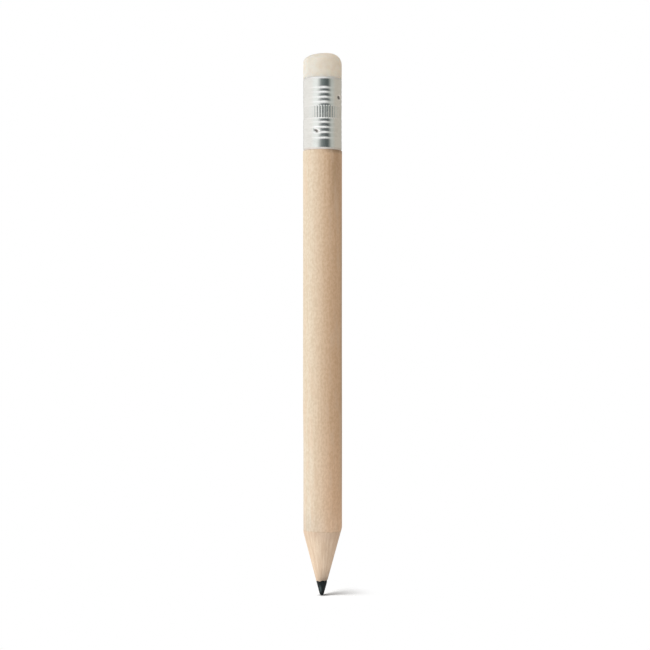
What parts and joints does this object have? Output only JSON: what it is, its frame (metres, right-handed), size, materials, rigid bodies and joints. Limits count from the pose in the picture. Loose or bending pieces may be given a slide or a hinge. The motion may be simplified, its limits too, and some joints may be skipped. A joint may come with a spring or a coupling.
{
  "type": "mini pencil",
  "caption": "Short round wooden pencil with a sharpened graphite point, and a grooved and fluted aluminium ferrule that holds an off-white rubber eraser.",
  "frame": {"origin": "on the barrel's axis, level with the writing tip", "axes": "+Z along the pencil from the tip to the eraser; -Y is the side that the picture shows, with +X to its right"},
  "size_m": [0.007, 0.007, 0.0972],
  "materials": {
    "wood": "bare, sanded",
    "graphite": "satin",
    "ferrule_metal": "bright",
    "eraser_rubber": "matte"
  },
  "bodies": {
    "root": {"slat_front": "wood", "slat_back": "wood", "lead": "graphite", "ferrule": "ferrule_metal", "eraser": "eraser_rubber"}
  },
  "joints": []
}
